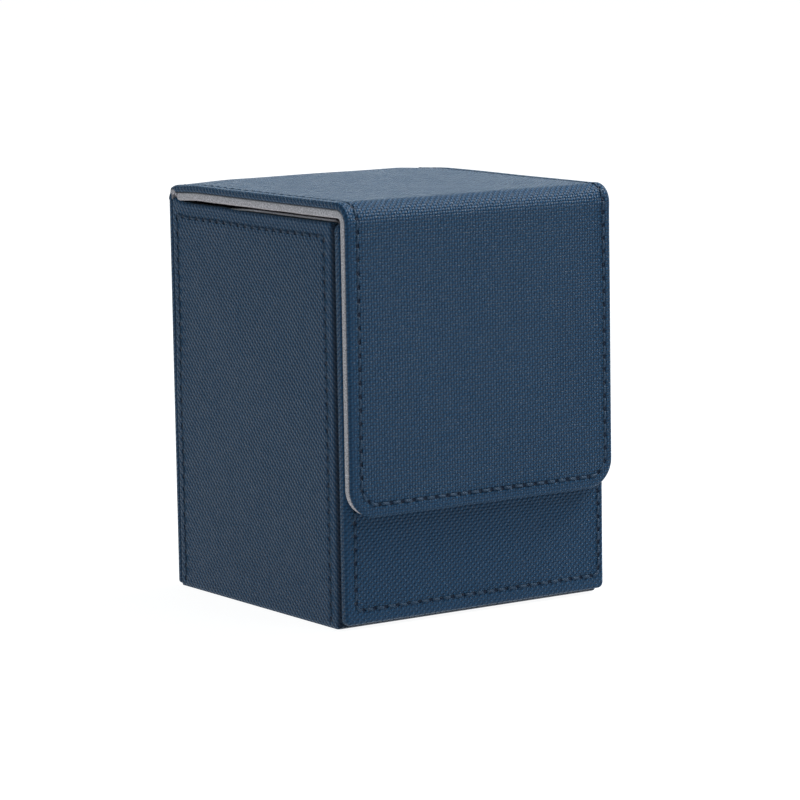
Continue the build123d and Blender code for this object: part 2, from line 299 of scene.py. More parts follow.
def new_object(name, points, faces, body, slot, material, attributes=None):
    """A smooth closed mesh with its outside facing out.
    """
    mesh = bpy.data.meshes.new(name)
    mesh.from_pydata((np.asarray(points) * MM).tolist(), [], [list(f) for f in faces])
    for key, values in (attributes or {}).items():
        layer = mesh.attributes.new(key, "FLOAT_VECTOR", "POINT")
        layer.data.foreach_set("vector", np.asarray(values, np.float32).ravel())
    work = bmesh.new()
    work.from_mesh(mesh)
    bmesh.ops.remove_doubles(work, verts=work.verts, dist=0.002 * MM)
    if work.calc_volume(signed=True) < 0:
        bmesh.ops.reverse_faces(work, faces=work.faces)
    work.to_mesh(mesh)
    work.free()
    mesh.shade_smooth()
    mesh.set_sharp_from_angle(angle=math.radians(50))
    mesh.materials.append(material)
    piece = bpy.data.objects.new(name, mesh)
    scene.collection.objects.link(piece)
    if isinstance(body, str):
        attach(piece, body)
    else:
        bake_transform(piece)
    return piece


def sheet(
    name, spans, place, rims, corner, thick, body, cover, step, seams=(), relief=None, shell=None,
    back_rim=BACK_RIM, turned=False, twill=0.4, tuck=0.3, shade=None,
):
    """A closed sheet with rounded rims and corners.

    spans are its outer limits in u and v, rims the rounding of its left, right, low and high
    edges, where None is an edge cut flush, and place turns (u, v, depth) into points in space.
    cover is its slot name, which is not used, and its material, step the size of its mesh's faces,
    and relief(u, v) how far its face stands out. With shell, it is a covering of that thickness
    which turns round the edges of a board and leaves the board's place free.

    turned says that the cloth was cut at right angles and twill how strongly its diagonal shows,
    which may be a function of v. tuck is the width of a line of painted shade where the sheet
    meets its neighbour, and shade(u, v) is any other painted shade.
    """
    (u_low, u_high), (v_low, v_high) = spans
    inset = [r or 0.0 for r in rims]
    low = (u_low + inset[0], v_low + inset[2])
    high = (u_high - inset[1], v_high - inset[3])
    bends = {}
    marks = ([], [])
    for n, (side_u, side_v) in enumerate(((0, 2), (1, 2), (1, 3), (0, 3))):
        if rims[side_u] is None or rims[side_v] is None:
            continue
        size = max(corner - max(inset[side_u], inset[side_v]), 0.35)
        at_u = low[0] + size if side_u == 0 else high[0] - size
        at_v = low[1] + size if side_v == 2 else high[1] - size
        bends[(side_u, side_v)] = (at_u, at_v, size)
        steps = np.linspace(0, size, 2 + round(size * 2.2))
        marks[0].extend(low[0] + steps if side_u == 0 else high[0] - steps)
        marks[1].extend(low[1] + steps if side_v == 2 else high[1] - steps)
    for seam in seams:
        for own, extra in zip(marks, seam.marks()):
            own.extend(extra)
    us = ticks(low[0], high[0], step, marks[0])
    vs = ticks(low[1], high[1], step, marks[1])
    u, v = np.meshgrid(us, vs, indexing="ij")
    out_u, out_v = np.zeros_like(u), np.zeros_like(u)
    for side, column in ((0, 0), (1, -1)):
        if rims[side] is not None:
            out_u[column, :] = -1 if side == 0 else 1
    for side, row in ((2, 0), (3, -1)):
        if rims[side] is not None:
            out_v[:, row] = -1 if side == 2 else 1
    for (side_u, side_v), (at_u, at_v, size) in bends.items():
        a = (at_u - u if side_u == 0 else u - at_u) / size
        b = (at_v - v if side_v == 2 else v - at_v) / size
        here = (a > -1e-9) & (b > -1e-9)
        a, b = np.clip(a, 0, 1), np.clip(b, 0, 1)
        round_a, round_b = a * np.sqrt(1 - b * b / 2), b * np.sqrt(1 - a * a / 2)
        sign_u, sign_v = (-1 if side_u == 0 else 1), (-1 if side_v == 2 else 1)
        u = np.where(here, at_u + sign_u * size * round_a, u)
        v = np.where(here, at_v + sign_v * size * round_b, v)
        size_ab = np.maximum(np.hypot(round_a, round_b), 1e-9)
        out_u = np.where(here, sign_u * round_a / size_ab, out_u)
        out_v = np.where(here, sign_v * round_b / size_ab, out_v)

    face = drawn_in(seams, u, v)
    if relief is not None:
        face = face - relief(u, v)
    count_u, count_v = u.shape
    index = np.arange(count_u * count_v).reshape(count_u, count_v)
    loop = np.concatenate([index[:, 0], index[-1, 1:], index[-2::-1, -1], index[0, -2:0:-1]])
    nu, nv = out_u.ravel()[loop], out_v.ravel()[loop]
    base_u, base_v, base_d = u.ravel()[loop], v.ravel()[loop], face.ravel()[loop]
    reach_u = np.where(nu < 0, inset[0], inset[1])
    reach_v = np.where(nv < 0, inset[2], inset[3])
    plain = np.hypot(nu, nv) < 1e-9
    radius = np.where(plain, max(inset), nu**2 * reach_u + nv**2 * reach_v)

    rings = []
    for angle in np.linspace(0, math.pi / 2, RIM_STEPS + 1)[1:]:
        depth = base_d + (radius - base_d) * (1 - math.cos(angle))
        rings.append((reach_u * math.sin(angle), reach_v * math.sin(angle), depth, radius * angle))
    wall = thick - back_rim
    for share in (0.5, 1.0):
        depth = radius + (wall - radius) * share
        rings.append((reach_u, reach_v, depth, radius * (math.pi / 2 - 1) + depth))
    for angle in (math.pi / 6, math.pi / 3, math.pi / 2):
        depth = np.full_like(radius, wall + back_rim * math.sin(angle))
        pull = back_rim * (1 - math.cos(angle))
        drop = radius * (math.pi / 2 - 1) + depth + pull
        rings.append((reach_u - pull, reach_v - pull, depth, drop))
    floor = thick
    if shell:
        floor = shell
        rings = [(a, b, np.where(plain, np.minimum(d, shell), d), c) for a, b, d, c in rings]
        for depth in (thick, shell):
            depth = np.where(plain, shell, depth)
            rings.append((reach_u - shell, reach_v - shell, depth, rings[-1][3] + shell))
    all_u, all_v, all_d = [u.ravel()], [v.ravel()], [face.ravel()]
    cloth_u, cloth_v = [u.ravel()], [v.ravel()]
    for out_by_u, out_by_v, depth, drop in rings:
        all_u.append(base_u + nu * out_by_u)
        all_v.append(base_v + nv * out_by_v)
        all_d.append(depth)
        cloth_u.append(base_u + nu * drop)
        cloth_v.append(base_v + nv * drop)
    all_u.append(u.ravel())
    all_v.append(v.ravel())
    all_d.append(np.full(u.size, float(floor)))
    cloth_u.append(u.ravel())
    cloth_v.append(v.ravel())
    us, vs, ds = (np.concatenate(part) for part in (all_u, all_v, all_d))

    a, b, c, d = index[:-1, :-1], index[1:, :-1], index[1:, 1:], index[:-1, 1:]
    quads = [np.stack([a, b, c, d], -1).reshape(-1, 4)]
    around = len(loop)
    levels = [loop] + [u.size + n * around + np.arange(around) for n in range(len(rings))]
    levels.append(u.size + len(rings) * around + loop)
    for top, below in zip(levels, levels[1:]):
        quads.append(np.stack([top, below, np.roll(below, -1), np.roll(top, -1)], -1))
    back = u.size + len(rings) * around + index
    a, b, c, d = back[:-1, :-1], back[1:, :-1], back[1:, 1:], back[:-1, 1:]
    quads.append(np.stack([d, c, b, a], -1).reshape(-1, 4))

    warp, weft = np.concatenate(cloth_u), np.concatenate(cloth_v)
    cloth = (weft, -warp) if turned else (warp, weft)
    nearest = np.full((3, len(us)), FAR_INSIDE)
    for seam in seams:
        across, along = seam.coords(us, vs)
        nearer = np.abs(across) < np.abs(nearest[0])
        nearest = np.where(nearer, np.stack([across, along, along]), nearest)
    # The third value is painted shade: a dark line where the sheet tucks against its neighbour.
    nearest[2] = smooth((ds - (thick - tuck)) / tuck) if tuck else 0.0
    if shade is not None:
        nearest[2] = np.maximum(nearest[2], shade(us, vs))
    diagonal = twill(vs) if callable(twill) else np.full(len(us), twill)
    attributes = {"cloth": np.stack([*cloth, diagonal], -1), "seam": nearest.T}
    return new_object(name, place(us, vs, ds), np.concatenate(quads), body, *cover, attributes)


def on_strip(outer, inner, thick, wider=0.0):
    """Places a sheet on the strip: u is X, v the length along the strip from the flap's lower edge.

    Its outer face lies outer(v) under the strip's own face and its inner face inner(v) under it.
    Flap and lid overhang the case a little at each side, the fold is fuller at its right end, and
    the lid's rear corners droop. wider is how much further the sheet reaches at each side down the
    rear of the hinge.
    """

    def place(u, v, depth):
        point, normal = STRIP.at(v)
        under = outer(v) + depth / thick * (inner(v) - outer(v))
        droop = smooth((v - LID_END + 11) / 14) * smooth((PANEL_START - v) / 5)
        at_sides = np.maximum(smooth((-20 - u) / 18), smooth((u - 28) / 10))
        under = under + LID_DROOP * at_sides * droop
        on_fold = np.exp(-(((v - (FLAP_END + LID_START) / 2) / 3.5) ** 2))
        under = under - FOLD_FULLNESS * smooth((u - 27) / 11) * on_fold
        point = point - normal * under[:, None]
        on_hinge = smooth((v - LID_END - 2.5) / 1.5) * smooth((PANEL_START - v) / 2.0)
        reach = OVERHANG * smooth((LID_END - v) / 50) + wider * on_hinge
        return np.stack([u * (1 + reach / HALF), point[:, 0], point[:, 1]], -1)

    return place


def stitches(name, seam, ranges, place, body, stand_in=None):
    """Single stitches from hole to hole, over the given ranges of distance along the seam.

    place puts them on the covering, and stand_in is the CAD node that they replace.
    """
    ring, steps = 8, 9
    points, faces = [], []
    t = np.linspace(0, 1, steps)
    bow = np.abs(2 * t - 1)
    rng = np.random.default_rng(len(name))
    middles = np.arange(math.ceil(-seam.end / PITCH), math.floor(seam.end / PITCH) + 1) * PITCH
    for middle in middles:
        if not any(first <= middle < last for first, last in ranges):
            continue
        s = middle + (t - 0.5) * (PITCH - 0.85)
        across = (0.13 + rng.normal(0, 0.025)) * (2 * t - 1)
        depth = CHANNEL - 0.12 + rng.normal(0, 0.02) + 0.75 * bow**5
        u, v = seam.at(s)
        u_out, v_out = seam.at(s, 1.0)
        u, v = u + (u_out - u) * across, v + (v_out - v) * across
        line = place(u, v, depth)
        heading = np.gradient(line, axis=0)
        heading /= np.linalg.norm(heading, axis=1)[:, None]
        up = place(u, v, depth - 1.0) - line
        side = np.cross(heading, up)
        side /= np.linalg.norm(side, axis=1)[:, None]
        up = np.cross(side, heading)
        thin = THREAD * (1 - 0.25 * bow**4)
        start = len(points)
        for k in range(steps):
            for angle in np.linspace(0, 2 * math.pi, ring, endpoint=False):
                spoke = 1.15 * math.cos(angle) * side[k] + 0.8 * math.sin(angle) * up[k]
                points.append(line[k] + thin[k] * spoke)
        for k in range(steps - 1):
            for m in range(ring):
                a, b = start + k * ring + m, start + k * ring + (m + 1) % ring
                faces.append((a, b, b + ring, a + ring))
        faces.append([start + m for m in reversed(range(ring))])
        faces.append([start + (steps - 1) * ring + m for m in range(ring)])
    piece = new_object(name, points, faces, body, "thread", THREAD_MATERIAL)
    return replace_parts(piece, stand_in) if stand_in else piece


# ---------------------------------------------------------------- materials

RANGE_INPUTS = ("From Min", "From Max", "To Min", "To Max")


class Graph:
    """Short names for the nodes that a material is made of."""

    def __init__(self, name):
        self.material = bpy.data.materials.new(name)
        self.material.use_nodes = True
        self.tree = self.material.node_tree
        self.shader = self.tree.nodes["Principled BSDF"]

    def node(self, kind, **settings):
        made = self.tree.nodes.new(kind)
        for key, value in settings.items():
            setattr(made, key, value)
        return made

    def feed(self, socket, value):
        if isinstance(value, bpy.types.NodeSocket):
            self.tree.links.new(value, socket)
        else:
            socket.default_value = value

    def math(self, operation, *values, clamp=False):
        made = self.node("ShaderNodeMath", operation=operation, use_clamp=clamp)
        for socket, value in zip(made.inputs, values):
            self.feed(socket, value)
        return made.outputs[0]

    def attribute(self, name):
        made = self.node("ShaderNodeAttribute", attribute_name=name)
        split = self.node("ShaderNodeSeparateXYZ")
        self.feed(split.inputs[0], made.outputs["Vector"])
        return made.outputs["Vector"], split.outputs

    def noise(self, vector, scale, detail=2.0, roughness=0.5):
        made = self.node("ShaderNodeTexNoise")
        self.feed(made.inputs["Vector"], vector)
        made.inputs["Scale"].default_value = scale
        made.inputs["Detail"].default_value = detail
        made.inputs["Roughness"].default_value = roughness
        return made.outputs["Fac"]

    def spread(self, value, low, high, to_low=0.0, to_high=1.0, soft=True):
        made = self.node("ShaderNodeMapRange")
        made.interpolation_type = "SMOOTHSTEP" if soft else "LINEAR"
        self.feed(made.inputs["Value"], value)
        for key, number in zip(RANGE_INPUTS, (low, high, to_low, to_high)):
            self.feed(made.inputs[key], number)
        return made.outputs["Result"]

    def mix(self, share, a, b, blend="MIX"):
        made = self.node("ShaderNodeMix", data_type="RGBA", blend_type=blend)
        self.feed(made.inputs["Factor"], share)
        self.feed(made.inputs["A"], a)
        self.feed(made.inputs["B"], b)
        return made.outputs["Result"]

    def blend(self, share, a, b):
        return self.math("ADD", a, self.math("MULTIPLY", share, self.math("SUBTRACT", b, a)))

    def bump(self, height, distance, strength=1.0, under=None):
        made = self.node("ShaderNodeBump")
        made.inputs["Distance"].default_value = distance
        made.inputs["Strength"].default_value = strength
        self.feed(made.inputs["Height"], height)
        if under is not None:
            self.feed(made.inputs["Normal"], under)
        return made.outputs["Normal"]


def rgb(r, g, b):
    return (r, g, b, 1.0)


def leatherette():
    """Navy leatherette, embossed like a plain-woven cloth, with needle holes along its seams.

    Painted shade darkens the weave's hollows, the seam channels, the needle holes, the tucked edges
    and the groove behind the front panel.
    """
    g = Graph("navy_leatherette")
    cloth, (u, v, diagonal) = g.attribute("cloth")
    _, (across, along, shade) = g.attribute("seam")
    sway = g.math("MULTIPLY", g.math("SUBTRACT", g.noise(cloth, 0.35), 0.5), 0.5)
    across_yarns = g.math("MULTIPLY", g.math("ADD", u, sway), math.pi / YARN)
    along_yarns = g.math("MULTIPLY", g.math("SUBTRACT", v, sway), math.pi / YARN)
    warp, weft = g.math("COSINE", across_yarns), g.math("COSINE", along_yarns)
    warp_over = g.spread(g.math("MULTIPLY", warp, weft), -0.06, 0.06)
    warp, weft = g.math("ABSOLUTE", warp), g.math("ABSOLUTE", weft)
    upright = g.math("MULTIPLY", warp, g.math("POWER", weft, 0.45))
    level_yarn = g.math("MULTIPLY", g.math("MULTIPLY", weft, g.math("POWER", warp, 0.45)), 0.68)
    grain = g.noise(cloth, 5.5, detail=3.0, roughness=0.6)
    twill = g.math("COSINE", g.math("SUBTRACT", across_yarns, along_yarns))
    twill = g.math("ADD", g.math("MULTIPLY", twill, 0.5), 0.5)
    woven = g.blend(warp_over, level_yarn, upright)
    yarns = g.blend(g.math("MULTIPLY", diagonal, 0.45), woven, twill)
    yarns = g.math("ADD", yarns, g.math("MULTIPLY", grain, 0.3))
    inside = g.spread(across, 1.6, 0.3, 0.75, 1.0)
    height = g.math("MULTIPLY", yarns, inside)

    turn = g.math("FRACT", g.math("ADD", g.math("DIVIDE", along, PITCH), 100.0))
    to_hole = g.math("MULTIPLY", g.math("ABSOLUTE", g.math("SUBTRACT", turn, 0.5)), PITCH * 0.62)
    far = g.math("SQRT", g.math("ADD", g.math("POWER", to_hole, 2.0), g.math("POWER", across, 2.0)))
    hole = g.spread(far, 0.55, 0.32)
    crease_shade = g.spread(g.math("ABSOLUTE", across), 0.55, 0.05)

    mottle = g.noise(cloth, 0.09, detail=4.0, roughness=0.6)
    # low colours the weave's hollows and high its yarn tops: the darker hollows are painted shade,
    # beside the bump that shapes them. The mottle is the cloth's own uneven tone.
    low = g.mix(mottle, rgb(0.0015, 0.012, 0.032), rgb(0.0020, 0.014, 0.036))
    high = g.mix(mottle, rgb(0.0100, 0.0535, 0.121), rgb(0.0122, 0.058, 0.127))
    colour = g.mix(g.spread(yarns, 0.22, 1.05, soft=False), low, high)
    # Outside the seam, the weave's colour evens out, and the painted shade of its hollows with it.
    colour = g.mix(g.spread(across, 0.3, 1.6, 0.0, 0.25), colour, g.mix(0.6, low, high))
    # Painted shade along the seam's channel.
    colour = g.mix(g.math("MULTIPLY", crease_shade, 0.1), colour, rgb(0.004, 0.014, 0.032))
    # Painted shade in the needle holes, which the bump below also sinks as pits.
    colour = g.mix(g.math("MULTIPLY", hole, 0.95), colour, rgb(0.0003, 0.006, 0.021))
    # Painted shade along tucked edges and in the groove behind the front panel.
    colour = g.mix(g.math("MULTIPLY", shade, 0.93), colour, rgb(0.0003, 0.0065, 0.019))
    g.feed(g.shader.inputs["Base Color"], colour)
    g.feed(g.shader.inputs["Roughness"], g.spread(g.noise(cloth, 0.5, 3.0), 0.25, 0.75, 0.35, 0.46))
    g.shader.inputs["Specular IOR Level"].default_value = 0.15
    g.shader.inputs["Sheen Weight"].default_value = 0.18
    g.shader.inputs["Sheen Roughness"].default_value = 0.28
    g.shader.inputs["Sheen Tint"].default_value = rgb(0.50, 0.74, 1.0)
    pits = g.bump(g.math("MULTIPLY", hole, -1.0), 0.35 * MM)
    g.feed(g.shader.inputs["Normal"], g.bump(height, 0.34 * MM, under=pits))
    return g.material


def microfibre():
    """Pinkish grey microfibre with a short, uneven nap, and painted shade along its tucked edges.
    """
    g = Graph("grey_microfibre")
    cloth, _ = g.attribute("cloth")
    _, (_, _, shade) = g.attribute("seam")
    nap = g.noise(cloth, 2.4, detail=5.0, roughness=0.75)
    brushed = g.noise(cloth, 0.25, detail=3.0, roughness=0.6)
    tips = g.spread(nap, 0.38, 0.64, soft=False)
    colour = g.mix(tips, rgb(0.10, 0.096, 0.105), rgb(0.66, 0.63, 0.668))
    colour = g.mix(g.spread(brushed, 0.35, 0.65, 0.0, 0.22), colour, rgb(0.22, 0.20, 0.211))
    # Painted shade along the tucked edges.
    colour = g.mix(g.math("MULTIPLY", shade, 0.8), colour, rgb(0.03, 0.024, 0.027))
    g.feed(g.shader.inputs["Base Color"], colour)
    g.feed(g.shader.inputs["Roughness"], g.spread(nap, 0.2, 0.8, 0.86, 1.0))
    g.shader.inputs["Specular IOR Level"].default_value = 0.12
    g.shader.inputs["Sheen Weight"].default_value = 0.35
    g.shader.inputs["Sheen Roughness"].default_value = 0.6
    g.shader.inputs["Sheen Tint"].default_value = rgb(0.95, 0.9, 0.92)
    g.feed(g.shader.inputs["Normal"], g.bump(nap, 0.3 * MM))
    return g.material


def thread():
    """Dark navy twisted polyester."""
    g = Graph("navy_thread")
    place = g.node("ShaderNodeTexCoord").outputs["Object"]
    twist = g.node("ShaderNodeTexWave", wave_type="BANDS", bands_direction="DIAGONAL")
    g.feed(twist.inputs["Vector"], place)
    twist.inputs["Scale"].default_value = 1100.0
    twist.inputs["Distortion"].default_value = 1.5
    colour = g.mix(twist.outputs["Fac"], rgb(0.006, 0.021, 0.046), rgb(0.015, 0.047, 0.094))
    g.feed(g.shader.inputs["Base Color"], colour)
    g.feed(g.shader.inputs["Roughness"], g.spread(twist.outputs["Fac"], 0.0, 1.0, 0.5, 0.65))
    g.shader.inputs["Specular IOR Level"].default_value = 0.3
    g.feed(g.shader.inputs["Normal"], g.bump(twist.outputs["Fac"], 0.05 * MM))
    return g.material


def greyboard():
    """Raw greyboard with flecks."""
    g = Graph("raw_greyboard")
    place = g.node("ShaderNodeTexCoord").outputs["Object"]
    fleck = g.noise(place, 900.0, detail=4.0, roughness=0.7)
    colour = g.mix(fleck, rgb(0.20, 0.185, 0.16), rgb(0.36, 0.34, 0.30))
    g.feed(g.shader.inputs["Base Color"], colour)
    g.feed(g.shader.inputs["Roughness"], g.spread(fleck, 0.2, 0.8, 0.8, 0.95))
    g.feed(g.shader.inputs["Normal"], g.bump(fleck, 0.05 * MM))
    return g.material


def nickel():
    """Plated magnet with fine turning marks."""
    g = Graph("plated_magnet")
    place = g.node("ShaderNodeTexCoord").outputs["Object"]
    marks = g.noise(place, 1500.0, detail=3.0)
    g.feed(g.shader.inputs["Base Color"], g.mix(marks, rgb(0.5, 0.49, 0.47), rgb(0.62, 0.61, 0.59)))
    g.feed(g.shader.inputs["Roughness"], g.spread(marks, 0.2, 0.8, 0.22, 0.38))
    g.shader.inputs["Metallic"].default_value = 1.0
    g.feed(g.shader.inputs["Normal"], g.bump(marks, 0.01 * MM))
    return g.material


NAVY = ("leatherette", leatherette())
GREY = ("microfibre", microfibre())
THREAD_MATERIAL = thread()

# The boards and the magnets keep their CAD shapes
inner_materials = {"greyboard": greyboard(), "magnet": nickel()}
for node in frame["record"]["subparts"]:
    material = inner_materials.get(node["material_slot"])
    if material:
        mesh = frame["nodes"][node["node"]].data
        mesh.materials.clear()
        mesh.materials.append(material)


# ---------------------------------------------------------------- the strip from flap to rear panel

STRIP = Path(
    [(FRONT, flap_low[2]), (FRONT, HEIGHT), (REAR, HEIGHT), (REAR, rear_low[2])],
    [FRONT_BEND, REAR_BEND],
    outward=1,
)
FLAP_END = flap_high[2] - flap_low[2]
PANEL_END = STRIP.length
PANEL_START = PANEL_END - (rear_high[2] - rear_low[2])
LID_START = FLAP_END + FRONT_BEND * math.pi / 2 + 2 * (HEIGHT - FRONT_BEND - flap_high[2])
LID_END = LID_START + lid_high[1] - lid_low[1]


def fold(first, second, start, end):
    """The two bodies that a fold joins and the line that it would turn about; nothing here makes
    the pieces on it bend.

    start and end are the (y, z) where their cut edges come nearest. The turn runs at 45 degrees, so
    that the whole of each cut edge moves with its own body.
    """
    reach = sum(abs(b - a) for a, b in zip(start, end)) / 2
    end = [a + math.copysign(reach, b - a) for a, b in zip(start, end)]
    return first, second, (0, start[0] * MM, start[1] * MM), (0, end[0] * MM, end[1] * MM)


FRONT_FOLD = fold("lid", "flap", (lid_low[1], lid_grey_low[2]), (flap_grey_high[1], flap_high[2]))
REAR_FOLD = fold(
    "case", "lid", (REAR - HINGE_DEEP, rear_high[2]), (lid_high[1], lid_low[2] - HINGE_LINING)
)


def uneven(size, height, seed):
    return lambda u, v: height * wander(u, v, size, seed)


def towards_lid(at_flap, at_lid):
    """A depth that changes from the flap's to the lid's over the front fold."""
    return lambda v: at_flap + (at_lid - at_flap) * smooth((v - FLAP_END) / (LID_START - FLAP_END))


def level(number):
    return lambda v: np.full_like(v, number, dtype=float)


def past_lid(v, run):
    """How much of the lid's thickness is left behind its boards, where the layers thin."""
    return smooth((LID_END + run - v) / run)


def hinge_layer(v):
    """The hinge's leatherette, which takes in the board's edge at the top of the rear panel."""
    at_panel = smooth((v - PANEL_START + 2.7) / 0.9)
    thick = HINGE_SKIN + (LID_OUTER - HINGE_SKIN) * past_lid(v, SKIN_TAPER)
    return thick + (HINGE_DEEP - HINGE_SKIN - 0.15) * at_panel


def hinge_layers(v):
    """The hinge's leatherette and lining together."""
    return HINGE_DEEP + (LID_OUTER + HINGE_LINING - HINGE_DEEP) * past_lid(v, LINING_TAPER)


outer_layer = towards_lid(FLAP_OUTER, LID_OUTER)
both_layers = towards_lid(FLAP_OUTER + FLAP_INNER, LID_OUTER + LID_INNER)

strip_seam_half = HALF - PANEL_SEAM - FLAP_SEAM_SHIFT
strip_seam = Seam(
    FLAP_SEAM_SHIFT, FLAP_SEAM_FOOT, strip_seam_half, FLAP_SEAM_CORNER, PANEL_START - FLAP_SEAM_FOOT
)
rear_seam = Seam(
    FLAP_SEAM_SHIFT, PANEL_END - PANEL_SEAM_FOOT, strip_seam_half, PANEL_SEAM_CORNER,
    rear_high[2] - PANEL_SEAM_FOOT, way=-1,
)


def strip_twill(v):
    """The cloth's diagonal shows more where it is stretched over the fold and the lid."""
    return 0.4 + 0.55 * smooth((v - FLAP_END - 0.5) / 3)


def strip_skin(
    name, stand_in, start, end, body, inner, shell,
    rims=(RIM, RIM, None, None), corner=0.0, seam=strip_seam,
):
    """The leatherette from start to end of the strip, which reaches inner(v) deep."""
    thick = float(inner(np.array([start]))[0])
    place = on_strip(level(0.0), inner, thick, HINGE_SKIN_WIDER)
    piece = sheet(
        name, ((-HALF, HALF), (start, end)), place, rims, corner, thick, body, NAVY, FINE,
        seams=[seam], relief=uneven(26.0, 0.06, 4), shell=shell, back_rim=PANEL_BACK_RIM,
        twill=strip_twill,
    )
    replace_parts(piece, stand_in)


strip_skin(
    "flap_cover", "flap_skin", 0.0, FLAP_END, "flap", outer_layer, SKIN,
    (RIM, RIM, RIM, None), FLAP_CORNER,
)
strip_skin(
    "front_fold_cover", "front_fold_skin", FLAP_END, LID_START, FRONT_FOLD, outer_layer, None
)
strip_skin("lid_cover", "lid_skin", LID_START, LID_END, "lid", outer_layer, SKIN)
strip_skin(
    "rear_hinge_cover", "rear_hinge_skin", LID_END, PANEL_START, REAR_FOLD, hinge_layer, None
)
strip_skin(
    "rear_panel_cover", "rear_panel_skin", PANEL_START, PANEL_END, "case",
    level(rear_high[1] - rear_low[1]), SKIN, REAR_PANEL_RIMS, REAR_PANEL_CORNER, rear_seam,
)


def strip_lining(
    name, stand_in, start, end, body, near, far, shell,
    rims=(NAP_RIM, NAP_RIM, None, None), corner=0.0,
):
    """A grey layer under the strip, whose napped face looks inward: near and far are its depths."""
    middle = np.array([(start + end) / 2])
    thick = float(near(middle)[0] - far(middle)[0])
    place = on_strip(near, far, thick, HINGE_LINING_WIDER)
    piece = sheet(
        name, ((-GREY_HALF, GREY_HALF), (start, end)), place, rims, corner, thick, body, GREY,
        COARSE if shell else FINE, relief=uneven(14.0, 0.04, 9), shell=shell,
        back_rim=0.45 if thick > 1.5 else 0.2,
    )
    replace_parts(piece, stand_in)


strip_lining(
    "flap_grey_lining", "flap_lining", flap_grey_low[2] - flap_low[2], FLAP_END, "flap",
    both_layers, outer_layer, NAP, (NAP_RIM, NAP_RIM, NAP_RIM, None), FLAP_LINING_CORNER,
)
strip_lining(
    "front_fold_grey_lining", "front_fold_lining", FLAP_END, LID_START, FRONT_FOLD, both_layers,
    outer_layer, None,
)
strip_lining(
    "lid_grey_lining", "lid_lining", LID_START, LID_END, "lid", both_layers, outer_layer, NAP,
    (NAP_RIM, NAP_RIM, None, 0.3), LID_LINING_CORNER,
)
strip_lining(
    "rear_hinge_grey_lining", "rear_hinge_lining", LID_END, PANEL_START, REAR_FOLD, hinge_layers,
    hinge_layer, None,
)

strip_face = on_strip(level(0.0), level(1.0), 1.0, HINGE_SKIN_WIDER)
sunk_face = on_strip(level(SUNK), level(1.0 + SUNK), 1.0, HINGE_SKIN_WIDER)
flap_leg, lid_leg, hinge_leg = (strip_seam.leg(v) for v in (FLAP_END, LID_START, LID_END))


def both_legs(low, high):
    return ((-high, -low), (low, high))


def whole(seam):
    return [(-seam.end, seam.end)]


on_lid, on_hinge = both_legs(lid_leg, hinge_leg), both_legs(hinge_leg, strip_seam.end)
stitches("flap_stitches", strip_seam, [(-flap_leg, flap_leg)], strip_face, "flap", "flap_stitching")
stitches("front_fold_stitches", strip_seam, both_legs(flap_leg, lid_leg), strip_face, FRONT_FOLD)
stitches("lid_stitches", strip_seam, on_lid, sunk_face, "lid", "lid_stitching")
stitches("rear_hinge_stitches", strip_seam, on_hinge, sunk_face, REAR_FOLD)
stitches(
    "rear_panel_stitches", rear_seam, whole(rear_seam), strip_face, "case", "rear_panel_stitching"
)


# ---------------------------------------------------------------- the case

WRAP = Path(
    [(-HALF, wrap_high[2]), (-HALF, 0.0), (HALF, 0.0), (HALF, wrap_high[2])], [0.5, 0.5], outward=-1
)
WALL = 2.4  # leatherette and board of a side wall
WALL_FRONT, WALL_REAR = wrap_low[1], wrap_high[1]
seam_middle = (WALL_FRONT + WALL_SEAM_FRONT + WALL_REAR - WALL_SEAM_REAR) / 2
seam_half = (WALL_REAR - WALL_SEAM_REAR - WALL_FRONT - WALL_SEAM_FRONT) / 2
wall_reach = wrap_high[2] - WALL_SEAM_TOP - WALL_SEAM_END
left_seam = Seam(seam_middle, WALL_SEAM_TOP, seam_half, WALL_SEAM_CORNER, wall_reach)
right_seam = Seam(
    seam_middle, WRAP.length - WALL_SEAM_TOP, seam_half, WALL_SEAM_CORNER, wall_reach, way=-1
)


def wall_top_rise(u):
    """How far the covering stands up along a side wall's top, where it is eased under the hinge."""
    rise = 0.25 + 0.35 * smooth((u - 1.0) / 20.0)
    return rise + 0.35 * smooth((u - 31.0) / 5.0) + 0.75 * smooth((u - 34.8) / 3.0)


def on_wrap(u, v, depth):
    from_top = np.minimum(v, WRAP.length - v)
    lift = wall_top_rise(u) * smooth(1 - from_top / 9.0)
    point, normal = WRAP.at(np.where(v < WRAP.length / 2, v - lift, v + lift))
    point = point - normal * depth[:, None]
    return np.stack([point[:, 0], u, point[:, 1]], -1)


def wall_unevenness(u, v):
    """The base stays flat."""
    return 0.07 * wander(u, v, 30.0, 2) * smooth((np.abs(v - WRAP.length / 2) - HALF - 1) / 8)


def front_groove_shade(u, v):
    """Painted shade where a wall turns in behind the front panel."""
    return smooth(WALL_FRONT + 2.1 - u)


# The wall's front edge gets painted shade in the groove behind the front panel.
side_cover = sheet(
    "side_wrap_cover", ((WALL_FRONT + GROOVE, WALL_REAR), (0.0, WRAP.length)), on_wrap,
    WALL_RIMS, WALL_CORNER, WALL, "case", NAVY, MIDDLING, seams=[left_seam, right_seam],
    relief=wall_unevenness, shell=SKIN, turned=True, twill=0.95, shade=front_groove_shade,
)
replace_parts(side_cover, "side_wrap_skin")
for name, seam in (("left_wall_stitch", left_seam), ("right_wall_stitch", right_seam)):
    stitches(name + "es", seam, whole(seam), on_wrap, "case", name + "ing")

